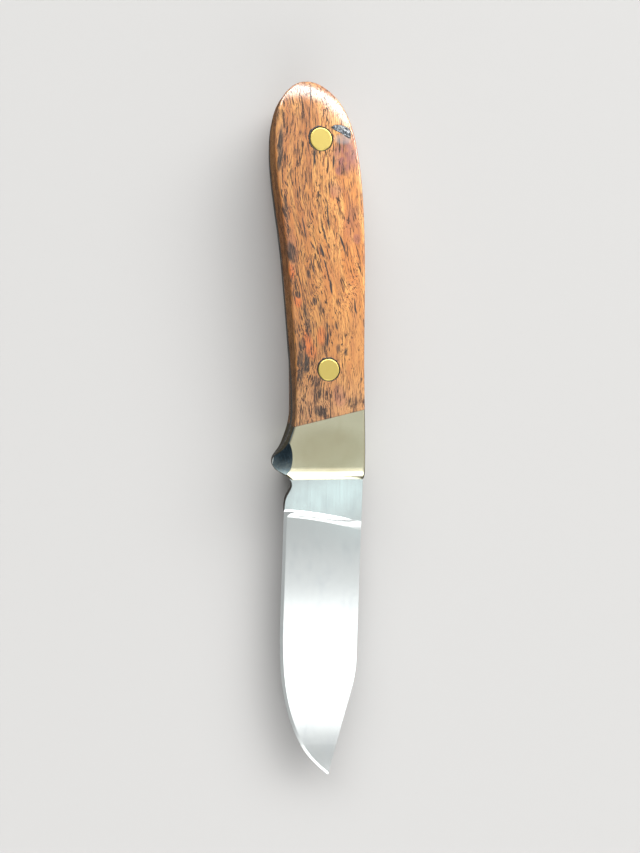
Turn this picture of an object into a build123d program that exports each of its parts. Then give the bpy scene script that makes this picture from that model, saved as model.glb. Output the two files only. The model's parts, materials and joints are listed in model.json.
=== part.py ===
"""Full-tang drop-point knife with metal bolsters, wooden scales and brass cap bolts.

Working frame, in millimetres: +X runs along the knife to the point, +Y towards the spine and
+Z up through the right side. X = 0 is just in front of the bolsters, Y = 0 is the spine at the
ricasso and Z = 0 is the middle of the steel. Before export the whole knife is moved so that its
origin is the centre of the bottom of its bounding box, lying on its left side.
"""
from build123d import *
from build123d.topology import SkipClean
from math import asin, atan, cos, degrees, radians, sin, sqrt, tan
import os

# Outlines are smooth runs between knots: X, Y and the direction of travel in degrees from +X.
# The last number of a handle knot is how far the top edge of the handle is set in there.
SIDE_INSET = 0.9
HANDLE_KNOTS = [
    (0.0, 0.0, -181.4, SIDE_INSET),
    (-40.0, -0.85, -179.5, SIDE_INSET),
    (-72.0, -1.4, -177.3, SIDE_INSET),
    (-91.4, -3.15, -171.0, SIDE_INSET),
    (-104.0, -6.4, -157.0, SIDE_INSET),
    (-111.7, -11.9, -128.0, SIDE_INSET),
    (-114.4, -19.0, -86.0, SIDE_INSET),
    (-110.8, -25.4, -42.0, SIDE_INSET),
    (-103.5, -28.5, -10.0, SIDE_INSET),
    (-92.0, -28.8, 4.0, SIDE_INSET),
    (-74.0, -26.4, 8.2, SIDE_INSET),
    (-42.0, -23.1, 5.1, SIDE_INSET),
    (-22.0, -21.75, 0.0, 0.2),
    (-14.7, -22.7, -18.5, 0.0),
    (-9.6, -25.5, -39.0, 0.5),
    (-5.8, -27.6, 2.0, SIDE_INSET),
    (-2.5, -24.8, 57.0, SIDE_INSET),
    (0.6, -21.65, 12.0, SIDE_INSET),
    (4.0, -22.85, -31.0, SIDE_INSET),
    (8.8, -23.8, -1.3, SIDE_INSET),
]
HEEL = HANDLE_KNOTS[-1][:2]
RICASSO_SPINE = HANDLE_KNOTS[0][:2]
RICASSO_WIDTH = RICASSO_SPINE[1] - HEEL[1]
BELLY_KNOTS = [
    (44.0, -24.65, -1.3),
    (64.3, -23.8, 7.8),
    (83.7, -17.85, 27.5),
    (94.0, -9.1, 48.7),
]
STRAIGHT_EDGE_END = BELLY_KNOTS[0][:2]
POINT = BELLY_KNOTS[-1][:2]
SPINE_BEND = (56.0, -0.85)
CLIP_START = (73.5, -4.2)

# Steel: one flat bar that is the blade, the ricasso and the full tang.
STOCK_THICKNESS = 4.0
HALF_STOCK = STOCK_THICKNESS / 2

# Ground bevels. The main bevel runs from the spine to the edge, and the edge bevel is the sharpened strip.
MAIN_BEVEL_ANGLE = 3.75
EDGE_HALF_THICKNESS = 0.25
EDGE_BEVEL_WIDTH = 1.0
EDGE_BEVEL_START = 9.3
CUTTING_EDGE_HALF_THICKNESS = 0.03
BEVEL_OVERLAP = 20.0

# Plunge: the curved line across the ricasso where the main bevel starts, and how long its hollow is.
PLUNGE_AT_EDGE = 8.4
PLUNGE_AT_SPINE = 12.0
PLUNGE_BEND = 1.55
PLUNGE_RUN = 2.7
PLUNGE_STATIONS = 7
PLUNGE_MARGIN = 1.0

# Handle thickness, the lean of its sides and its rounded edges.
HANDLE_THICKNESS = 17.6
HALF_HANDLE = HANDLE_THICKNESS / 2
SLAB_THICKNESS = HALF_HANDLE - HALF_STOCK
EDGE_ROUND = 0.7

# Front of the bolsters, and the radius that rolls them over to it.
BOLSTER_FRONT = -0.9
BOLSTER_ROLL = 4.4

# Butt dome: the faces of the scales fall away outside this line, as the arc of a large circle.
DOME_LINE = [(-62.0, 1.5), (-98.0, -8.5), (-106.8, -19.0), (-101.0, -33.0)]
DOME_CORNER_RADIUS = 7.0
DOME_RADIUS = 15.0
DOME_WIDTH = 12.0

# Joint between wood and bolster, a plane that leans back towards the spine.
JOINT_AT_SPINE = -22.4
JOINT_SLANT = 14.0

# Scalloped slope on each side of the guard, the shape a large round file leaves.
SCALLOP_RADIUS = 13.0
SCALLOP_X = -8.0
SCALLOP_TOP_Y = -22.3
SCALLOP_BOTTOM_Y = -27.2

# Bolster pins, driven through both bolsters and the tang.
PIN_DIAMETER = 3.2
PIN_PLACES = {"upper_bolster_pin": (-11.5, -6.0), "lower_bolster_pin": (-9.0, -17.0)}

# Threaded cap bolts that clamp the scales.
BOLT_PLACES = {"front_bolt": (-33.5, -12.1), "rear_bolt": (-97.7, -15.2)}
BOLT_HEAD_DIAMETER = 6.35
BOLT_SHANK_DIAMETER = 4.76
BOLT_THREAD_DIAMETER = 3.5
BOLT_HEAD_ROUND = 0.4
BOLT_SEAT_HEIGHT = 5.0
BOLT_THREAD_DEPTH = 4.0
BOLT_BORE_DEPTH = 4.5
BOLT_HOLE_DIAMETER = 4.86
COUNTERBORE_DIAMETER = 6.6

# Resin that fills a knot in the right scale.
KNOT_POINTS = [
    (-101.2, -12.3),
    (-101.9, -9.6),
    (-100.0, -6.7),
    (-98.4, -7.1),
    (-99.2, -8.9),
    (-100.4, -11.6),
]
KNOT_FLOOR = 6.0

FAR = 300.0


def direction(degrees_from_x):
    return Vector(cos(radians(degrees_from_x)), sin(radians(degrees_from_x)))


def smooth_run(knots, insets=None):
    """Curves through the knots, each moved by its inset to the left of travel, which is inwards."""
    insets = insets or [0.0] * len(knots)
    places = [
        Vector(x, y) + direction(turn + 90) * inset
        for (x, y, turn, *_), inset in zip(knots, insets)
    ]
    travel = [direction(turn) for _, _, turn, *_ in knots]
    return [
        Spline(places[i], places[i + 1], tangents=(travel[i], travel[i + 1]))
        for i in range(len(knots) - 1)
    ]


def edge_curves():
    """The cutting edge in plan, from the heel to the point."""
    return [Line(HEEL, STRAIGHT_EDGE_END), *smooth_run(BELLY_KNOTS)]


def steel_face():
    """Plan of the whole bar, from the point to the butt."""
    clip = Line(POINT, CLIP_START)
    spine = Line(SPINE_BEND, RICASSO_SPINE)
    drop = Spline(CLIP_START, SPINE_BEND, tangents=(clip % 1, spine % 0))
    return make_face([*smooth_run(HANDLE_KNOTS), *edge_curves(), clip, drop, spine])


def handle_face(insets=None):
    """Plan of the handle, carried on a little way in front of the bolsters."""
    sides = smooth_run(HANDLE_KNOTS, insets)
    start = sides[0] @ 0
    end = sides[-1] @ 1
    front = Polyline(end, (end.X, start.Y), start)
    return make_face([*sides, *front.edges()])


def block_between(x_low, x_high):
    """Block that holds everything between two planes across the knife."""
    block = Box(x_high - x_low, FAR, FAR, align=(Align.MIN, Align.CENTER, Align.CENTER))
    return block.moved(Location((x_low, 0, 0)))


def bar_across(diameter, place, z_low, z_high):
    """Round bar along Z at a place in plan."""
    bar = Cylinder(diameter / 2, z_high - z_low, align=(Align.CENTER, Align.CENTER, Align.MIN))
    return bar.moved(Location((*place, z_low)))


def grind_cutter(angle, edge_half_thickness, start_x):
    """Everything above a bevel of the right side, which leaves the edge that thick on its half."""
    rise = Vector(0, cos(radians(angle)), sin(radians(angle)))
    heel, *belly = edge_curves()
    back = heel @ 0 + (heel % 0) * ((start_x - HEEL[0]) / (heel % 0).X)
    corners = [POINT, (POINT[0], FAR), (FAR, FAR), (FAR, -FAR), (start_x, -FAR), back]
    outside = make_face([Line(back, heel @ 1), *belly, *Polyline(*corners).edges()])
    run = (HALF_STOCK + 1) / sin(radians(angle))
    return extrude(Plane.XY.offset(edge_half_thickness) * outside, run, dir=rise)


def plunge_section(across):
    """Face across the plunge cut this far in from the edge, drawn along the heel and up from mid-steel."""
    floor = EDGE_HALF_THICKNESS + across * tan(radians(MAIN_BEVEL_ANGLE))
    depth = HALF_STOCK - floor
    share = max(across / RICASSO_WIDTH, 0)
    top = PLUNGE_AT_EDGE + (PLUNGE_AT_SPINE - PLUNGE_AT_EDGE) * share**PLUNGE_BEND - HEEL[0]
    radius = (PLUNGE_RUN**2 + depth**2) / (2 * depth)
    turn = degrees(asin(PLUNGE_RUN / radius))
    hollow = CenterArc((top + PLUNGE_RUN, floor + radius), radius, 270 - turn, turn)
    end = top + BEVEL_OVERLAP
    rest = Polyline(hollow @ 1, (end, floor), (end, 2 * HALF_STOCK), (top, 2 * HALF_STOCK), hollow @ 0)
    return make_face([hollow, *rest.edges()])


def plunge_cutter():
    """Start of the main bevel: a hollow whose radius grows as the cut runs out towards the spine."""
    heel = edge_curves()[0]
    along = heel % 0
    across = Vector(-along.Y, along.X, 0)
    step = (RICASSO_WIDTH + 2 * PLUNGE_MARGIN) / (PLUNGE_STATIONS - 1)
    sections = []
    for station in range(PLUNGE_STATIONS):
        reach = station * step - PLUNGE_MARGIN
        plane = Plane(origin=heel @ 0 + across * reach, x_dir=along, z_dir=-across)
        sections.append((plane * plunge_section(reach)).face())
    return loft(sections)


def both_sides(cutter):
    return [cutter, mirror(cutter, Plane.XY)]


def make_blade():
    """Blade, ricasso and full tang, with the holes for the bolts and the pins."""
    blade = extrude(steel_face(), HALF_STOCK, both=True)
    edge_slope = (EDGE_HALF_THICKNESS - CUTTING_EDGE_HALF_THICKNESS) / EDGE_BEVEL_WIDTH
    edge_angle = degrees(atan(edge_slope + tan(radians(MAIN_BEVEL_ANGLE))))
    cutters = [
        plunge_cutter(),
        grind_cutter(MAIN_BEVEL_ANGLE, EDGE_HALF_THICKNESS, PLUNGE_AT_SPINE + BEVEL_OVERLAP / 2),
        grind_cutter(edge_angle, CUTTING_EDGE_HALF_THICKNESS, EDGE_BEVEL_START),
    ]
    for cutter in cutters:
        for one_side in both_sides(cutter):
            blade -= one_side
    for place in BOLT_PLACES.values():
        blade -= bar_across(BOLT_HOLE_DIAMETER, place, -HALF_STOCK, HALF_STOCK)
    for place in PIN_PLACES.values():
        blade -= bar_across(PIN_DIAMETER, place, -HALF_STOCK, HALF_STOCK)
    return blade


def butt_dome():
    """Cutter that carries the falling surface of the butt round the dome line."""
    path = FilletPolyline(*DOME_LINE, radius=DOME_CORNER_RADIUS)
    along = path % 0
    outward = Vector(-along.Y, along.X) * -1

    def station(distance):
        fall = DOME_RADIUS - sqrt(DOME_RADIUS**2 - distance**2)
        return path @ 0 + outward * distance + Vector(0, 0, HALF_HANDLE - fall)

    surface = ThreePointArc(station(0), station(DOME_WIDTH / 2), station(DOME_WIDTH))
    above = Vector(0, 0, SLAB_THICKNESS)
    lid = Polyline(station(DOME_WIDTH), station(DOME_WIDTH) + above, station(0) + above, station(0))
    return sweep(make_face([surface, *lid.edges()]), path)


def slab_half():
    """Right half of the whole handle above the tang: leaning sides, domed butt and rounded edges."""
    top_insets = [inset for _, _, _, inset in HANDLE_KNOTS]
    foot = Plane.XY.offset(HALF_STOCK) * handle_face()
    top = Plane.XY.offset(HALF_HANDLE) * handle_face(top_insets)
    slab = loft([foot.face(), top.face()], ruled=True)
    slab -= butt_dome()
    slab &= block_between(-FAR, BOLSTER_FRONT)
    slab -= roll_cutter()
    sides = slab.faces().filter_by(GeomType.BSPLINE)
    rim = [edge for edge in sides.edges() if is_rim(edge)]
    return fillet(rim, EDGE_ROUND)


def roll_cutter():
    """What is taken off the top front corner of the bolster to roll it over."""
    centre = Location((BOLSTER_FRONT - BOLSTER_ROLL, 0, HALF_HANDLE - BOLSTER_ROLL))
    corner = Box(2 * BOLSTER_ROLL, FAR, 2 * BOLSTER_ROLL, align=(Align.MIN, Align.CENTER, Align.MIN))
    wheel = Cylinder(BOLSTER_ROLL, 2 * FAR, rotation=(90, 0, 0))
    return centre * (corner - wheel)


def is_rim(edge):
    """Whether an edge of a leaning side runs round the top, not down the side or across the front."""
    box = edge.bounding_box()
    return box.min.Z > HALF_STOCK + 1 and box.min.X < BOLSTER_FRONT - 0.01


def joint_block():
    """Everything in front of the plane where wood and bolster meet."""
    block = block_between(0, FAR).rotate(Axis.Z, JOINT_SLANT)
    return block.moved(Location((JOINT_AT_SPINE, 0, 0)))


def scallop_cutter():
    """Round bar that slopes down and outwards across the side of the guard."""
    top = Vector(SCALLOP_X, SCALLOP_TOP_Y, HALF_HANDLE)
    bottom = Vector(SCALLOP_X, SCALLOP_BOTTOM_Y, HALF_STOCK)
    axis = (top - bottom).normalized()
    inwards = Vector(0, axis.Z, -axis.Y)
    plane = Plane(origin=top - inwards * SCALLOP_RADIUS, z_dir=axis)
    return plane * Cylinder(SCALLOP_RADIUS, FAR / 4)


def make_bolster(slab):
    bolster = slab & joint_block()
    bolster -= scallop_cutter()
    for place in PIN_PLACES.values():
        bolster -= bar_across(PIN_DIAMETER, place, 0, FAR)
    return bolster


def make_scale(slab):
    scale = slab - joint_block()
    for place in BOLT_PLACES.values():
        scale -= bar_across(BOLT_HOLE_DIAMETER, place, 0, BOLT_SEAT_HEIGHT)
        scale -= bar_across(COUNTERBORE_DIAMETER, place, BOLT_SEAT_HEIGHT, FAR)
    return scale


def knot_prism():
    outline = make_face([Spline(*KNOT_POINTS, periodic=True)])
    return extrude(Plane.XY.offset(KNOT_FLOOR) * outline, SLAB_THICKNESS)


def bolt_head_and_barrel(place):
    """Cap and barrel that each half of a bolt shares, on the right side."""
    barrel = bar_across(BOLT_SHANK_DIAMETER, place, 0, BOLT_SEAT_HEIGHT)
    head = bar_across(BOLT_HEAD_DIAMETER, place, BOLT_SEAT_HEIGHT, HALF_HANDLE)
    rim = head.edges().sort_by(Axis.Z)[-1]
    return barrel + fillet(rim, BOLT_HEAD_ROUND)


def make_bolt_stud(place):
    """Right half of a cap bolt, with the threaded end left plain."""
    return bolt_head_and_barrel(place) + bar_across(BOLT_THREAD_DIAMETER, place, -BOLT_THREAD_DEPTH, 0)


def make_bolt_nut(place):
    """Left half of a cap bolt, whose barrel is bored for the thread."""
    nut = mirror(bolt_head_and_barrel(place), Plane.XY)
    return nut - bar_across(BOLT_THREAD_DIAMETER, place, -BOLT_BORE_DEPTH, 0)


def make_parts():
    """Every piece of the knife by name, in the working frame."""
    slab = slab_half()
    scale = make_scale(slab)
    bolster = make_bolster(slab)
    knot = knot_prism()
    parts = {
        "blade": make_blade(),
        "right_bolster": bolster,
        "left_bolster": mirror(bolster, Plane.XY),
        "right_scale": scale - knot,
        "left_scale": mirror(scale, Plane.XY),
        "knot_fill": scale & knot,
    }
    for name, place in PIN_PLACES.items():
        parts[name] = bar_across(PIN_DIAMETER, place, -HALF_HANDLE, HALF_HANDLE)
    for name, place in BOLT_PLACES.items():
        parts[name + "_stud"] = make_bolt_stud(place)
        parts[name + "_nut"] = make_bolt_nut(place)
    return parts


def main():
    with SkipClean():
        parts = make_parts()
    box = Compound(children=[part.solid() for part in parts.values()]).bounding_box()
    middle = box.center()
    to_origin = Location((-middle.X, -middle.Y, -box.min.Z))
    os.makedirs("parts", exist_ok=True)
    for name, part in parts.items():
        export_step(part.solid().moved(to_origin), f"parts/{name}.step")
        print(name, len(part.solids()), round(part.volume, 1), part.is_valid)
    print("moved by", to_origin.position, "size", box.size)


main()
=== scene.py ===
"""Looks for the full-tang drop-point knife: materials, fine pieces, studio light and camera.

Places are in millimetres of the knife's own frame: +X to the point, +Y to the spine, +Z up.
"""
import json
from math import cos, pi, radians, sin, tan

import bmesh
import bpy
from mathutils import Matrix, Vector, noise

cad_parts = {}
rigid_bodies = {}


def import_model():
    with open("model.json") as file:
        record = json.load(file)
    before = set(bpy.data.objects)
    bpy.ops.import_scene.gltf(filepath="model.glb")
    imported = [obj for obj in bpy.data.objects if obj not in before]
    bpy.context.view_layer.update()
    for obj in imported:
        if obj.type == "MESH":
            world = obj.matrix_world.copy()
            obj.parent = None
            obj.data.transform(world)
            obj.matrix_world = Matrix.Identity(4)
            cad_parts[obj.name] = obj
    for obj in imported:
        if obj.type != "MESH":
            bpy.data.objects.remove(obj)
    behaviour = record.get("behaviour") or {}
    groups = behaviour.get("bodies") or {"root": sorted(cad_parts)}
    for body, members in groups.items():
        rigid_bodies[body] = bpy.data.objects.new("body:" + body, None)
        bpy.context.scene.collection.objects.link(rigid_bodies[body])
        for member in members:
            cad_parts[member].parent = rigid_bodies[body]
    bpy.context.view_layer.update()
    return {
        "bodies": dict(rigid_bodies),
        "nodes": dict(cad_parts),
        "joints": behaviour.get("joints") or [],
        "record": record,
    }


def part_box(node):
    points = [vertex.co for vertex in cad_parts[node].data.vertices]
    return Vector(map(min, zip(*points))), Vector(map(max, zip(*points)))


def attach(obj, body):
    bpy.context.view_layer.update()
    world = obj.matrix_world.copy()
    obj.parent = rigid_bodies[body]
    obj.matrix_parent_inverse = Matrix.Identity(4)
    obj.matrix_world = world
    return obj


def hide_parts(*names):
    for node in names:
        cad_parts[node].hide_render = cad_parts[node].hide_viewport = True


MM = 0.001

# Camera held over the knife, tilted a little towards the edge side and the butt: place, tilts in
# degrees, lens and the nearest distance that it shows.
CAMERA_PLACE = (-23.9, -31.2, 213.9)
CAMERA_SIDE_TILT = 9.0
CAMERA_END_TILT = 5.0
CAMERA_LENS = 29.12
CAMERA_NEAR = 10.0

# Studio: soft panels as (place, aim, width, height, roll, radiance, colour), in millimetres and degrees.
OVERHEAD_PANEL = ((540, 125, 1000), (540, 125, 0), 294, 650, 0, 1.0, (1.0, 1.0, 1.0))
OVERHEAD_HALO = ((520, 125, 1010), (520, 125, 0), 440, 650, 0, 0.22, (1.0, 1.0, 1.0))
RICASSO_PANEL = ((198, 190, 1000), (198, 190, 0), 60, 200, 22, 1.0, (0.7, 1.0, 1.0))
KEY_PANEL = ((-500, 650, 900), (-40, 0, 0), 700, 700, 0, 1.2, (1.0, 0.98, 0.95))

# Bright wall low behind the butt, which polished wood mirrors round its end.
BUTT_WALL_HEADING = (-1.0, 0.25, 0.0)
BUTT_WALL_LEVEL = 12.0

# What the knife mirrors from below the horizon, instead of the pale floor.
NEAR_GROUND = (0.06, 0.054, 0.048, 1.0)
FAR_GROUND = (0.08, 0.082, 0.085, 1.0)
BUTT_GROUND = (1.0, 1.0, 1.0, 1.0)

# Plain backdrop behind the floor.
BACKDROP = (0.72, 0.715, 0.705, 1.0)

# Brightness of the room overhead, what its walls add to it and how far its edge side is dimmed.
ROOM_LEVEL = 0.56
POINT_WALL_LEVEL = 3.0
BUTT_SKY_LEVEL = 0.3
SPINE_WALL_LEVEL = 0.2
EDGE_SIDE_DIMMING = 0.4

# Floor, in metres across, and its paint.
FLOOR_SIZE = 6
FLOOR_COLOUR = (0.37, 0.366, 0.36, 1.0)


def srgb(red, green, blue):
    """Linear colour of a display colour given in 0 to 255."""
    channels = [value / 255 for value in (red, green, blue)]
    return [c / 12.92 if c <= 0.04045 else ((c + 0.055) / 1.055) ** 2.4 for c in channels] + [1.0]


# A soft spot reaches full strength where its spherical gradient reaches this.
SPOT_CORE = 0.55


class Shader:
    """Node tree of one material or world, with short calls that add and join nodes."""

    def __init__(self, owner):
        owner.use_nodes = True
        self.owner = owner
        self.tree = owner.node_tree

    def join(self, value, socket):
        """Links a socket to a socket, or sets a plain value on it."""
        if isinstance(value, bpy.types.NodeSocket):
            self.tree.links.new(value, socket)
        else:
            socket.default_value = value

    def add(self, kind, inputs, **settings):
        node = self.tree.nodes.new("ShaderNode" + kind)
        for name, value in settings.items():
            setattr(node, name, value)
        for name, value in inputs.items():
            self.join(value, node.inputs[name])
        return node

    def math(self, operation, first, second=0.0):
        return self.add("Math", {0: first, 1: second}, operation=operation).outputs[0]

    def total(self, *values):
        result = values[0]
        for value in values[1:]:
            result = self.math("ADD", result, value)
        return result

    def times(self, *values):
        result = values[0]
        for value in values[1:]:
            result = self.math("MULTIPLY", result, value)
        return result

    def ramp(self, value, start, end, low=0.0, high=1.0, shape="SMOOTHSTEP"):
        """Low up to the start and high from the end on, with a smooth or linear change between."""
        ends = {"Value": value, "From Min": start, "From Max": end, "To Min": low, "To Max": high}
        return self.add("MapRange", ends, interpolation_type=shape).outputs["Result"]

    def mix(self, factor, first, second):
        """The first colour where the factor is 0 and the second where it is 1."""
        return self.add("Mix", {0: factor, 6: first, 7: second}, data_type="RGBA").outputs[2]

    def vector(self, operation, first, second):
        return self.add("VectorMath", {0: first, 1: second}, operation=operation).outputs[0]

    def noise(self, place, lengths, detail=2.0, roughness=0.5):
        """Cloudy noise from 0 to 1 whose clouds have the given lengths."""
        cell = self.vector("DIVIDE", place, lengths)
        inputs = {"Vector": cell, "Scale": 1.0, "Detail": detail, "Roughness": roughness}
        return self.add("TexNoise", inputs).outputs["Fac"]

    def axes(self, vector):
        """The X, Y and Z of a vector, by number or by name."""
        return self.add("SeparateXYZ", {"Vector": vector}).outputs

    def grey(self, level):
        """A colour whose three channels are all the level."""
        return self.add("CombineXYZ", {"X": level, "Y": level, "Z": level}).outputs[0]

    def spot(self, place, centre, lengths, slant=0.0):
        """Soft oval that is 1 in its middle and 0 beyond its half lengths."""
        inputs = {"Vector": place, "Location": centre, "Rotation": (0, 0, radians(slant)), "Scale": lengths}
        turned = self.add("Mapping", inputs, vector_type="TEXTURE").outputs[0]
        oval = self.add("TexGradient", {"Vector": turned}, gradient_type="SPHERICAL").outputs["Fac"]
        return self.ramp(oval, 0.0, SPOT_CORE)


class Surface(Shader):
    """Shader of a new material, with its place on the knife in millimetres."""

    def __init__(self, name, **values):
        super().__init__(bpy.data.materials.new(name))
        self.sockets = self.tree.nodes["Principled BSDF"].inputs
        for socket, value in values.items():
            self.put(socket.replace("_", " "), value)
        place = self.add("TexCoord", {}).outputs["Object"]
        self.place = self.vector("DIVIDE", place, (MM, MM, MM))

    def put(self, socket, value):
        """Links or sets one of the surface's own sockets."""
        self.join(value, self.sockets[socket])

    def bump(self, height, depth, socket="Normal"):
        """Relief of the given depth in millimetres where height goes from 0 to 1."""
        relief = self.add("Bump", {"Strength": 1.0, "Distance": depth * MM, "Height": height})
        self.put(socket, relief.outputs[0])


# Joint between wood and bolster: its slant and how far it is from the origin along its normal.
JOINT_SLANT = 14.0
JOINT_AT_SPINE = (-12.19, 14.46)
JOINT_NORMAL = (cos(radians(JOINT_SLANT)), sin(radians(JOINT_SLANT)))
JOINT_REACH = JOINT_AT_SPINE[0] * JOINT_NORMAL[0] + JOINT_AT_SPINE[1] * JOINT_NORMAL[1]
SEAM_WIDTH = 0.3
SEAM_STRENGTH = 0.7

# Display colours of the wood, its pores and its stains.
WOOD_DARK_BAND = (196, 122, 54)
WOOD_LIGHT_BAND = (236, 171, 90)
STREAK_TONE = (156, 90, 44)
BLOTCH_TONE = (186, 106, 66)
FIBRE_TONE = (132, 74, 38)
SMALL_PORE_TONE = (104, 62, 38)
LARGE_PORE_TONE = (42, 31, 26)
RED_TONE = (186, 86, 26)
PLUM_TONE = (126, 72, 70)
DARK_TONE = (46, 38, 31)
SMEAR_TONE = (136, 132, 132)
CRACK_TONE = (46, 40, 38)
SEAM_TONE = (70, 46, 32)

# Slow changes of tone and painted shade: (axis, from, to, strength there, ramp shape, display colour).
WOOD_TONES_AND_PAINTED_SHADE = [
    ("X", -60, -35, 0.3, "SMOOTHSTEP", (218, 150, 80)),
    # Painted shade: darker towards the bolster, away from the light falling from the butt.
    ("X", -90, -30, 0.3, "LINEAR", (140, 92, 42)),
    # These two rows are painted shade: darker towards the edge side, away from the light on the spine side.
    ("Y", 8, -11, 0.35, "LINEAR", (136, 84, 32)),
    ("Y", 7, 0, 0.22, "SMOOTHSTEP", (116, 72, 26)),
    ("X", -46, -34, 0.2, "SMOOTHSTEP", (112, 80, 48)),
    ("X", -26, -12, 0.22, "SMOOTHSTEP", (156, 136, 110)),
]

# How far the grain drifts towards the spine along the handle, and how far it wanders and quivers.
GRAIN_DRIFT = 9.0
GRAIN_WANDER = 6.0
GRAIN_QUIVER = 0.5

# Pores: their length, width and depth as noise cells, and the depth of the waves in the oiled finish.
LARGE_PORES = (4.6, 0.27, 0.27)
SMALL_PORES = (2.2, 0.18, 0.18)
PORE_DEPTH = 0.03
FINISH_WAVE = 0.02

# Roughness and oiled finish of the wood, each between its pores and in them.
CLEAN_AND_PORE_ROUGHNESS = (0.4, 0.8)
CLEAN_AND_PORE_COAT = (1.0, 0.3)

# Stains and cracks: (centre along, centre across, half length, half width, slant, strength).
WOOD_FACE = 17.6
STAIN_DEPTH = 7.0
DARK_STAINS = [
    (-25.5, -5.0, 5.0, 2.2, 4, 1.0),
    (-30.5, -5.5, 2.5, 1.3, 0, 0.8),
    (-21.5, -5.8, 2.5, 1.2, 4, 0.8),
    (-84.5, -12.2, 8.0, 0.9, -2, 0.8),
    (-68.0, -10.3, 5.0, 0.8, 8, 0.6),
    (-57.0, -8.9, 4.0, 1.5, 12, 0.8),
    (-44.0, -6.8, 1.4, 1.1, 0, 0.9),
    (-42.5, -2.0, 1.4, 1.0, 0, 0.7),
    (-49.5, -3.8, 1.8, 0.8, 15, 0.7),
    (-37.0, -4.0, 6.0, 1.2, 12, 0.6),
    (-40.5, -0.4, 3.0, 1.0, 4, 0.5),
    (-36.5, 4.5, 1.6, 0.9, 0, 0.6),
    (-29.5, 5.1, 2.0, 0.8, 0, 0.8),
    (-28.5, 7.3, 1.8, 0.7, 0, 0.8),
    (-19.5, -1.5, 2.6, 1.4, 10, 0.5),
    (-16.0, -0.8, 2.2, 2.8, 0, 0.4),
    (-11.2, 0.0, 1.8, 2.6, -14, 0.9),
    (-13.4, 9.4, 2.2, 2.6, -14, 0.4),
]
PLUM_STAINS = [
    (-83.5, 6.2, 6.5, 4.6, 8, 1.0),
    (-86.3, 6.2, 2.4, 1.4, -20, 1.0),
    (-79.3, 4.3, 1.8, 1.2, 0, 0.9),
    (-74.5, 3.5, 3.0, 2.4, 0, 0.6),
    (-65.0, 8.5, 8.0, 3.6, 4, 0.35),
    (-60.7, 9.8, 2.2, 1.6, 0, 0.7),
    (-15.5, 5.7, 4.5, 2.4, 10, 0.6),
    (-57.0, -8.5, 8.0, 2.0, 6, 0.4),
]
RED_STAINS = [
    (-42.0, -6.7, 2.2, 1.5, 0, 1.0),
    (-51.0, -8.6, 3.2, 1.0, 6, 1.0),
    (-31.0, -3.8, 5.0, 2.0, 8, 0.9),
    (-33.0, 0.0, 3.6, 1.6, 4, 0.8),
    (-28.7, -2.3, 3.0, 1.8, 0, 0.7),
    (-72.0, 3.2, 2.4, 2.0, 0, 0.4),
]
CRACKS = [
    (-99.0, -3.8, 5.0, 0.24, 0, 0.9),
    (-82.0, -2.6, 3.4, 0.42, -4, 1.0),
    (-82.0, 2.8, 3.2, 0.34, -3, 1.0),
    (-67.0, 1.5, 5.0, 0.3, 7, 1.0),
    (-58.7, 5.8, 5.0, 0.34, 15, 1.0),
    (-63.0, -5.3, 4.4, 0.28, 10, 0.9),
    (-61.5, 0.6, 3.2, 0.3, 24, 0.9),
    (-57.3, 0.0, 2.8, 0.44, 18, 1.0),
    (-58.3, -2.8, 2.2, 0.34, 27, 0.9),
    (-52.0, -2.8, 4.2, 0.3, 15, 0.9),
    (-53.0, 1.1, 2.4, 0.3, 22, 0.9),
    (-47.5, 2.6, 3.0, 0.42, 10, 1.0),
    (-42.2, 9.8, 3.0, 0.36, 8, 1.0),
    (-31.5, 1.9, 2.8, 0.5, 0, 1.0),
    (-35.0, 1.6, 2.2, 0.34, 4, 0.9),
]
KNOT_SMEAR = [(-87.8, 5.4, 1.8, 3.2, 0, 0.55)]


def stain_mask(shader, place, stains):
    """The strongest of a list of soft ovals on the right face."""
    mask = None
    for along, across, half_length, half_width, slant, strength in stains:
        lengths = (half_length, half_width, STAIN_DEPTH)
        oval = shader.spot(place, (along, across, WOOD_FACE), lengths, slant)
        oval = shader.times(oval, strength)
        mask = oval if mask is None else shader.math("MAXIMUM", mask, oval)
    return mask


def centred_noise(shader, lengths, detail=2.0):
    """Cloudy noise about 0."""
    return shader.total(shader.noise(shader.place, lengths, detail), -0.5)


def bend_grain(wood):
    """The place along the curly grain, and the place shaken so that stains have uneven edges."""
    x, y, z = wood.axes(wood.place)
    drift = wood.ramp(x, -80, -26, 0, GRAIN_DRIFT)
    wander = wood.times(centred_noise(wood, (24, 9, 9)), GRAIN_WANDER)
    quiver = wood.times(centred_noise(wood, (4, 1.8, 1.8), 1.0), GRAIN_QUIVER)
    across = wood.total(y, wood.times(drift, -1.0), wander, quiver)
    grain = wood.add("CombineXYZ", {"X": x, "Y": across, "Z": wood.total(z, wander)}).outputs[0]
    shake = wood.add("CombineXYZ", {"X": wander, "Y": quiver}).outputs[0]
    return grain, wood.vector("ADD", wood.place, shake)


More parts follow.
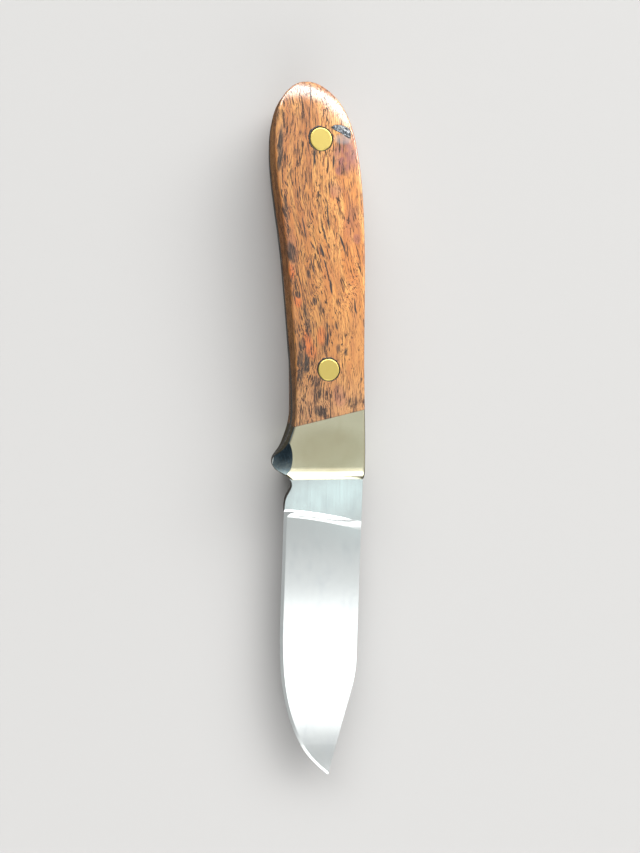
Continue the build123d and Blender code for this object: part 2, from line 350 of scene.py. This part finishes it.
def wood_tone(wood, grain, streak, fibre):
    """Colour of the clean wood: bands, streaks, blotches, fibres, slow changes of tone and painted shade
    towards the bolster and the edge side.
    """
    band = wood.noise(grain, (40, 2.6, 2.6), 3.0, 0.6)
    blotch = wood.noise(wood.place, (14, 6, 6), 3.0)
    colour = wood.mix(wood.ramp(band, 0.38, 0.64), srgb(*WOOD_DARK_BAND), srgb(*WOOD_LIGHT_BAND))
    colour = wood.mix(wood.ramp(streak, 0.48, 0.66, 0, 0.7), colour, srgb(*STREAK_TONE))
    colour = wood.mix(wood.ramp(blotch, 0.5, 0.75, 0, 0.4), colour, srgb(*BLOTCH_TONE))
    colour = wood.mix(wood.ramp(fibre, 0.4, 0.65, 0.0, 0.32), colour, srgb(*FIBRE_TONE))
    axes = wood.axes(wood.place)
    for axis, start, end, strength, shape, tone in WOOD_TONES_AND_PAINTED_SHADE:
        colour = wood.mix(wood.ramp(axes[axis], start, end, 0.0, strength, shape), colour, srgb(*tone))
    return colour


def pore_crowd(wood, dark):
    """Where pores come more often: in clumps, by the joint, in dark stains and towards the edge side, where
    they are partly painted shade.
    """
    x, y, _ = wood.axes(wood.place)
    clump = centred_noise(wood, (8, 2.6, 2.6))
    crowd = wood.total(wood.times(clump, 0.2), wood.ramp(x, -32, -14, 0, 0.028))
    if dark is not None:
        # The ramp along Y adds pores towards the edge side, which darkens it as painted shade.
        crowd = wood.total(crowd, wood.times(dark, 0.1), wood.ramp(y, 7, -9, 0, 0.036, "LINEAR"))
    return crowd


def stain_red_and_plum(wood, colour, near):
    """The red-orange patches and the plum ones, which are cloudy inside."""
    red = stain_mask(wood, near, RED_STAINS)
    colour = wood.mix(wood.times(red, 0.6), colour, srgb(*RED_TONE))
    cloud = wood.ramp(wood.noise(wood.place, (2.2, 1.3, 1.3), 3.0), 0.3, 0.6, 0.5, 1)
    plum = wood.times(stain_mask(wood, near, PLUM_STAINS), cloud, 0.85)
    return wood.mix(plum, colour, srgb(*PLUM_TONE))


def make_wood(name, stained):
    """Oiled orange-brown hardwood with dark open pores, curly grain and dark stains."""
    wood = Surface(name, Coat_Roughness=0.16, Coat_IOR=1.8, Specular_IOR_Level=0.3)
    grain, near = bend_grain(wood)
    streak = wood.noise(grain, (7, 0.6, 0.6), 3.0, 0.6)
    fibre = wood.noise(grain, (2.4, 0.2, 0.2), 2.0)
    colour = wood_tone(wood, grain, streak, fibre)
    dark = None
    if stained:
        colour = stain_red_and_plum(wood, colour, near)
        dark = stain_mask(wood, near, DARK_STAINS)

    crowd = pore_crowd(wood, dark)
    large = wood.ramp(wood.total(wood.noise(grain, LARGE_PORES, 2.0, 0.6), crowd), 0.58, 0.61)
    small = wood.ramp(wood.total(wood.noise(grain, SMALL_PORES, 2.0, 0.6), crowd), 0.57, 0.64)
    colour = wood.mix(wood.times(small, 0.75), colour, srgb(*SMALL_PORE_TONE))
    colour = wood.mix(wood.times(large, 0.92), colour, srgb(*LARGE_PORE_TONE))
    pores = wood.math("MAXIMUM", large, wood.times(small, 0.5))
    if stained:
        crack = stain_mask(wood, near, CRACKS)
        streaky = wood.ramp(streak, 0.32, 0.55, 0.2, 0.95)
        colour = wood.mix(wood.times(dark, streaky), colour, srgb(*DARK_TONE))
        colour = wood.mix(stain_mask(wood, wood.place, KNOT_SMEAR), colour, srgb(*SMEAR_TONE))
        colour = wood.mix(crack, colour, srgb(*CRACK_TONE))
        pores = wood.math("MAXIMUM", pores, crack)

    x, y, _ = wood.axes(wood.place)
    reach = wood.total(wood.times(x, JOINT_NORMAL[0]), wood.times(y, JOINT_NORMAL[1]))
    seam = wood.ramp(reach, JOINT_REACH - SEAM_WIDTH, JOINT_REACH, 0, SEAM_STRENGTH)
    wood.put("Base Color", wood.mix(seam, colour, srgb(*SEAM_TONE)))
    wood.put("Roughness", wood.ramp(pores, 0, 1, *CLEAN_AND_PORE_ROUGHNESS))
    wood.put("Coat Weight", wood.ramp(pores, 0, 1, *CLEAN_AND_PORE_COAT))
    wood.bump(wood.total(wood.times(pores, -1.0), wood.times(fibre, 0.4)), PORE_DEPTH)
    wood.bump(wood.total(streak, wood.times(fibre, 0.3)), FINISH_WAVE, "Coat Normal")
    return wood.owner


# Metals: (bright display colour, dull one, length of the polishing lines along X, Y and Z, roughness,
# axis that the highlights stretch around, which is at right angles to the lines).
BLADE_FINISH = ((232, 237, 236), (205, 212, 216), (30, 0.2, 0.2), 0.17, "X")
BOLSTER_FINISH = ((214, 210, 181), (186, 178, 146), (0.7, 50, 0.5), 0.22, "Y")
BRASS_FINISH = ((212, 191, 110), (194, 170, 92), (0.15, 9, 0.15), 0.32, "Y")

# Depth of the polishing lines, and how strongly they and the smudges show.
POLISH_DEPTH = 0.0006
POLISH_TINT = 0.06
SMUDGE_TINT = 0.3
POLISH_ROUGHNESS = 0.015
SMUDGE_ROUGHNESS = 0.02


def satin_metal(name, tint, dull_and_painted_reflection, lines, roughness, across):
    """Metal polished in fine straight lines."""
    metal = Surface(name, Metallic=1.0, Anisotropic=0.6)
    scratch = metal.noise(metal.place, lines, 3.0, 0.7)
    smudge = metal.noise(metal.place, (9, 5, 5), 3.0, 0.6)
    colour = metal.mix(metal.ramp(smudge, 0.45, 0.75, 0, SMUDGE_TINT), srgb(*tint), srgb(*dull_and_painted_reflection))
    colour = metal.mix(metal.ramp(scratch, 0.3, 0.7, 0, POLISH_TINT), colour, srgb(*dull_and_painted_reflection))
    metal.put("Base Color", colour)
    lined = metal.ramp(scratch, 0.3, 0.7, -POLISH_ROUGHNESS, POLISH_ROUGHNESS)
    smudged = metal.ramp(smudge, 0.3, 0.7, 0, SMUDGE_ROUGHNESS)
    metal.put("Roughness", metal.total(lined, smudged, roughness))
    metal.put("Tangent", metal.add("Tangent", {}, direction_type="RADIAL", axis=across).outputs[0])
    metal.bump(scratch, POLISH_DEPTH)
    return metal


def make_blade_steel():
    return satin_metal("blade_satin_steel", *BLADE_FINISH).owner


# Film in the filed hollow of the guard, partly its own blue film and partly painted reflection: where
# painted shade makes it darkest, and where along it turns light as a painted reflection.
SCALLOP_PAINTED_SHADE = (-0.5, -10.0, 14.5)
SCALLOP_PAINTED_SHADE_SIZE = (5.6, 3.6, 7.0)
FILM_CLOUDING = 8.0
FILM_PAINTED_REFLECTION_SPAN = (4.5, 9.5)
FILM_AND_REFLECTION_TONE = (138, 174, 190)
FILM_PAINTED_REFLECTION_TONE = (226, 248, 250)
FILM_PAINTED_SHADE_TONE = (98, 124, 138)
FILM_MOTTLE_TONE = (176, 212, 232)

# Painted reflection: a darker tan patch in the middle of the bolster's face, where its polish mirrors
# darker surroundings.
BOLSTER_PAINTED_REFLECTION = (0.0, 3.0, 17.6)
BOLSTER_PAINTED_REFLECTION_SIZE = (9.0, 15.0, 12.0)
BOLSTER_PAINTED_REFLECTION_STRENGTH = 0.45
BOLSTER_PAINTED_REFLECTION_TONE = (172, 162, 128)


def film_and_painted_reflection(metal):
    """Blue-grey film, mottled, with painted shade dark at the top of the hollow and a light painted
    reflection at its bottom.
    """
    along = metal.axes(metal.place)["X"]
    cloud = metal.noise(metal.place, (0.9, 0.8, 0.8), 4.0, 0.65)
    # Painted reflection: lighter towards the bottom of the hollow.
    painted_reflection = metal.ramp(metal.total(along, metal.times(cloud, FILM_CLOUDING)), *FILM_PAINTED_REFLECTION_SPAN)
    film = metal.mix(painted_reflection, srgb(*FILM_AND_REFLECTION_TONE), srgb(*FILM_PAINTED_REFLECTION_TONE))
    # Painted shade: darkest at the top of the hollow.
    shade = metal.spot(metal.place, SCALLOP_PAINTED_SHADE, SCALLOP_PAINTED_SHADE_SIZE)
    film = metal.mix(shade, film, srgb(*FILM_PAINTED_SHADE_TONE))
    mottle = metal.ramp(metal.noise(metal.place, (1.3, 0.5, 0.9), 4.0, 0.7), 0.48, 0.62, 0, 0.55)
    return metal.mix(mottle, film, srgb(*FILM_MOTTLE_TONE))


def filed_hollow(metal):
    """1 on surfaces that lean out towards the edge side as the filed hollow does, 0 elsewhere."""
    facing = metal.add("NewGeometry", {}).outputs["Normal"]
    _, out, lean = metal.axes(facing)
    sloping = metal.times(metal.ramp(lean, 0.3, 0.45), metal.ramp(lean, 0.65, 0.72, 1, 0))
    return metal.times(sloping, metal.ramp(out, -0.6, -0.45, 1, 0))


def make_bolster_metal():
    """Nickel silver, with a darker tan patch painted on the middle of its face as a painted reflection, and
    a mottled film in the filed hollow of the guard that is partly painted shade and reflection.
    """
    metal = satin_metal("bolster_nickel_silver", *BOLSTER_FINISH)
    plain = metal.sockets["Base Color"].links[0].from_socket
    # Painted reflection: a darker tan patch on the middle of the face.
    dull_and_painted_reflection = metal.times(metal.spot(metal.place, BOLSTER_PAINTED_REFLECTION, BOLSTER_PAINTED_REFLECTION_SIZE), BOLSTER_PAINTED_REFLECTION_STRENGTH)
    colour = metal.mix(dull_and_painted_reflection, plain, srgb(*BOLSTER_PAINTED_REFLECTION_TONE))
    metal.put("Base Color", metal.mix(filed_hollow(metal), colour, film_and_painted_reflection(metal)))
    return metal.owner


def make_brass():
    return satin_metal("bolt_satin_brass", *BRASS_FINISH).owner


# Resin in the knot: its core, where the painted grey glints are strongest, the grid it is remeshed on, and
# how far its top crumples and sinks. The top is where the surface faces mostly up. Lumps are (number in a
# millimetre, height).
KNOT_CORE = (-90.1, 4.9, 17.3)
KNOT_CORE_SIZE = (2.1, 2.9, 9.0)
KNOT_SLANT = -25.0
KNOT_VOXEL = 0.14
KNOT_RELIEF = 0.16
KNOT_SINK = 0.05
KNOT_TOP_FACING = 0.5
KNOT_LUMPS = [(1.1, 1.0), (2.6, 0.5)]
RESIN_TONE = (38, 43, 50)
RESIN_PAINTED_GLINT_TONE = (118, 126, 132)
RESIN_BUMPS = 0.15


def make_knot_resin():
    """Glossy black casting resin with grey glints painted into its colour, strongest in its core."""
    resin = Surface("knot_black_resin", Roughness=0.12, Coat_Weight=0.6, Coat_Roughness=0.05)
    fleck = resin.noise(resin.place, (0.9, 0.6, 0.6), 4.0, 0.7)
    core = resin.spot(resin.place, KNOT_CORE, KNOT_CORE_SIZE, KNOT_SLANT)
    # Painted highlight: the grey flecks are glints painted into the colour, most of them in the core.
    grey = resin.times(resin.ramp(fleck, 0.4, 0.65), resin.ramp(core, 0, 1, 0.2, 1))
    colour = resin.mix(grey, srgb(*RESIN_TONE), srgb(*RESIN_PAINTED_GLINT_TONE))
    resin.put("Base Color", colour)
    resin.bump(fleck, RESIN_BUMPS)
    return resin.owner


def new_piece(name, mesh, material):
    """Mesh object of its own material that rides with the knife."""
    mesh.materials.clear()
    mesh.materials.append(material)
    mesh.shade_smooth()
    piece = bpy.data.objects.new(name, mesh)
    bpy.context.scene.collection.objects.link(piece)
    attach(piece, "root")
    return piece


# Dark rings in the gaps round the bolt heads: radii and heights from the wood's face, then how far they
# spread over the wood, furthest on one side, and how often their ragged edge turns.
COUNTERBORE_RADIUS = 3.3
GAP_POINTS = 160
GAP_PROFILE = [(3.165, -0.45), (3.165, -0.16), (3.24, -0.08), (COUNTERBORE_RADIUS, 0.0)]
GAP_LIP = 0.012
GAP_LIP_INSET = 0.02
GAP_UNDERSIDE = -0.06
GAP_DEEP_SIDES = {"front": radians(200), "rear": radians(250)}
RAGGED_LEAST = 0.03
RAGGED_FINE = 0.2
RAGGED_FINE_RATE = 7.0
RAGGED_DEEP = 0.34
RAGGED_DEEP_RATE = 4.0
RAGGED_DEEP_MEAN = 0.8
GAP_DARK_TONE = (16, 14, 13)
GAP_GRIT_TONE = (54, 46, 40)
GRIT_BUMPS = 0.05


def ragged_reach(angle, deep_angle, seed):
    """How far the dark ring spreads over the wood at this angle, most on its deep side."""
    here = Vector((cos(angle), sin(angle), seed))
    fine = abs(noise.noise(here * RAGGED_FINE_RATE)) * RAGGED_FINE
    uneven = RAGGED_DEEP_MEAN + noise.noise(here * RAGGED_DEEP_RATE)
    deep = max(0.0, cos(angle - deep_angle)) * RAGGED_DEEP * uneven
    return COUNTERBORE_RADIUS + RAGGED_LEAST + fine + max(deep, 0.0)


def make_gap(name, centre, face, side, deep_angle, seed, material):
    """Near-black ring between a bolt head and the wood; side is 1 on the right, -1 on the left."""
    mesh = bpy.data.meshes.new(name)
    form = bmesh.new()
    loops = []
    outlines = [[radius] * GAP_POINTS for radius, _ in GAP_PROFILE]
    angles = [2 * pi * step / GAP_POINTS for step in range(GAP_POINTS)]
    ragged = [ragged_reach(angle, deep_angle, seed) for angle in angles]
    outlines += [ragged, [radius - GAP_LIP_INSET for radius in ragged]]
    heights = [height for _, height in GAP_PROFILE] + [GAP_LIP, GAP_UNDERSIDE]
    for outline, height in zip(outlines, heights):
        ring = []
        for angle, radius in zip(angles, outline):
            place = (centre[0] + radius * cos(angle), centre[1] + radius * sin(angle), face + side * height)
            ring.append(form.verts.new(Vector(place) * MM))
        loops.append(ring)
    for inner, outer in zip(loops, loops[1:] + loops[:1]):
        for here in range(GAP_POINTS):
            after = (here + 1) % GAP_POINTS
            form.faces.new((inner[here], inner[after], outer[after], outer[here]))
    bmesh.ops.recalc_face_normals(form, faces=form.faces)
    form.to_mesh(mesh)
    form.free()
    new_piece(name, mesh, material)


def make_gaps():
    """Near-black rings round the four bolt heads, widest on one side of each."""
    material = make_gap_dark()
    for seed, (end, deep_angle) in enumerate(GAP_DEEP_SIDES.items()):
        for side, node, label in ((1, "_bolt_stud", "right"), (-1, "_bolt_nut", "left")):
            low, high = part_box(end + node)
            centre = [(low[axis] + high[axis]) / 2 / MM for axis in (0, 1)]
            face = high[2] / MM if side > 0 else low[2] / MM
            make_gap(f"{end}_bolt_gap_{label}", centre, face, side, deep_angle, seed * 3.1 + side, material)


def make_gap_dark():
    """Near-black with lighter grit."""
    filler = Surface("gap_dark", Roughness=0.55)
    grit = filler.noise(filler.place, (0.35, 0.25, 0.25), 4.0, 0.7)
    colour = filler.mix(filler.ramp(grit, 0.4, 0.75), srgb(*GAP_DARK_TONE), srgb(*GAP_GRIT_TONE))
    filler.put("Base Color", colour)
    filler.bump(grit, GRIT_BUMPS)
    return filler.owner


def make_knot(frame):
    """Resin in the knot, with a crumpled polished top instead of a flat one."""
    node = frame["nodes"]["knot_fill"]
    source = node.copy()
    source.data = node.data.copy()
    bpy.context.scene.collection.objects.link(source)
    remesh = source.modifiers.new("fine", "REMESH")
    remesh.mode = "VOXEL"
    remesh.voxel_size = KNOT_VOXEL * MM
    bpy.context.view_layer.update()
    fine = source.evaluated_get(bpy.context.evaluated_depsgraph_get())
    mesh = bpy.data.meshes.new_from_object(fine)
    bpy.data.objects.remove(source)
    for vertex in mesh.vertices:
        if vertex.normal.z > KNOT_TOP_FACING:
            place = vertex.co / MM
            relief = sum(noise.noise(place * lumps) * height for lumps, height in KNOT_LUMPS)
            vertex.co.z += (relief * KNOT_RELIEF - KNOT_SINK) * MM
    piece = new_piece("knot_resin_fill", mesh, make_knot_resin())
    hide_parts("knot_fill")


def dress(frame, material, *names):
    """Gives CAD nodes a detailed material in place of their plain one."""
    for name in names:
        mesh = frame["nodes"][name].data
        mesh.materials.clear()
        mesh.materials.append(material)


BOLSTER_NODES = ["right_bolster", "left_bolster", "upper_bolster_pin", "lower_bolster_pin"]
BOLT_NODES = ["front_bolt_stud", "front_bolt_nut", "rear_bolt_stud", "rear_bolt_nut"]


def dress_frame(frame):
    """Only the right scale's stains are known, so the left one has none."""
    dress(frame, make_wood("right_scale_wood", stained=True), "right_scale")
    dress(frame, make_wood("left_scale_wood", stained=False), "left_scale")
    dress(frame, make_blade_steel(), "blade")
    dress(frame, make_bolster_metal(), *BOLSTER_NODES)
    dress(frame, make_brass(), *BOLT_NODES)


def make_camera():
    """Camera looking down on the right side, with the point towards the bottom of the picture."""
    knife_up = Vector((tan(radians(CAMERA_SIDE_TILT)), -tan(radians(CAMERA_END_TILT)), 1)).normalized()
    picture_down = Vector((0, -1, 0))
    knife_point = (picture_down - knife_up * picture_down.dot(knife_up)).normalized()
    turn = Matrix((knife_point, knife_up.cross(knife_point), knife_up)).to_4x4()
    data = bpy.data.cameras.new("camera")
    data.lens = CAMERA_LENS
    data.clip_start = CAMERA_NEAR * MM
    camera = bpy.data.objects.new("camera", data)
    camera.matrix_world = Matrix.Translation(Vector(CAMERA_PLACE) * MM) @ turn
    bpy.context.scene.collection.objects.link(camera)
    bpy.context.scene.camera = camera


def soft_panel(name, place, aim, width, height, roll, radiance, colour):
    """Rectangular studio lamp of even brightness, facing its aim."""
    data = bpy.data.lights.new(name, "AREA")
    data.shape = "RECTANGLE"
    data.size = width * MM
    data.size_y = height * MM
    data.energy = radiance * data.size * data.size_y * pi
    data.color = colour
    light = bpy.data.objects.new(name, data)
    away = Vector(place) - Vector(aim)
    turn = away.to_track_quat("Z", "Y").to_matrix().to_4x4() @ Matrix.Rotation(radians(roll), 4, "Z")
    light.matrix_world = Matrix.Translation(Vector(place) * MM) @ turn
    bpy.context.scene.collection.objects.link(light)


def room_light(room, heading):
    """Light from above the horizon: an even room with a wall past the point, the butt and the spine."""
    x, y, _ = room.axes(heading)
    point_wall = room.times(room.ramp(x, 0.62, 0.78, 0.0, POINT_WALL_LEVEL), room.ramp(y, -0.38, -0.18))
    butt_sky = room.ramp(x, -0.4, -0.12, BUTT_SKY_LEVEL, 0.0)
    spine_wall = room.ramp(y, 0.5, 0.9, 0.0, SPINE_WALL_LEVEL)
    side = room.ramp(y, -0.95, -0.15, EDGE_SIDE_DIMMING, 1.0)
    return room.grey(room.times(room.total(ROOM_LEVEL, point_wall, butt_sky, spine_wall), side))


def butt_glow(room, heading):
    """The bright low wall behind the butt."""
    z = room.axes(heading)["Z"]
    facing = room.add("VectorMath", {0: heading, 1: BUTT_WALL_HEADING}, operation="DOT_PRODUCT")
    wall = room.ramp(facing.outputs["Value"], 0.48, 0.68)
    band = room.times(room.ramp(z, 0.2, 0.36), room.ramp(z, 0.5, 0.78, 1, 0))
    return room.grey(room.times(wall, band, BUTT_WALL_LEVEL))


def make_room():
    """The world: what the knife is lit by and mirrors, and the plain backdrop that the camera sees."""
    world = bpy.data.worlds.new("studio")
    bpy.context.scene.world = world
    room = Shader(world)
    heading = room.add("TexCoord", {}).outputs["Generated"]
    x, _, z = room.axes(heading)
    far_ground = room.mix(room.ramp(x, -0.5, -0.15, 1, 0), FAR_GROUND, BUTT_GROUND)
    below = room.mix(room.ramp(z, -0.7, -0.45), NEAR_GROUND, far_ground)
    colour = room.mix(room.ramp(z, -0.03, 0.06), below, room_light(room, heading))
    colour = room.vector("ADD", colour, butt_glow(room, heading))
    seen = room.add("LightPath", {}).outputs["Is Camera Ray"]
    room.join(room.mix(seen, colour, BACKDROP), room.tree.nodes["Background"].inputs["Color"])


def make_floor():
    """Pale matt floor that polished pieces don't mirror."""
    bpy.ops.mesh.primitive_plane_add(size=FLOOR_SIZE)
    floor = bpy.context.object
    floor.name = "floor"
    floor.visible_glossy = False
    paint = Surface("floor_paint", Roughness=0.9, Base_Color=FLOOR_COLOUR)
    floor.data.materials.append(paint.owner)


def make_studio():
    """The room, four soft panels and the floor."""
    make_room()
    soft_panel("overhead_halo", *OVERHEAD_HALO)
    soft_panel("ricasso_panel", *RICASSO_PANEL)
    soft_panel("overhead_panel", *OVERHEAD_PANEL)
    soft_panel("key_panel", *KEY_PANEL)
    make_floor()
    bpy.context.scene.view_settings.view_transform = "Standard"


def main():
    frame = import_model()
    make_camera()
    make_studio()
    dress_frame(frame)
    make_gaps()
    make_knot(frame)


main()
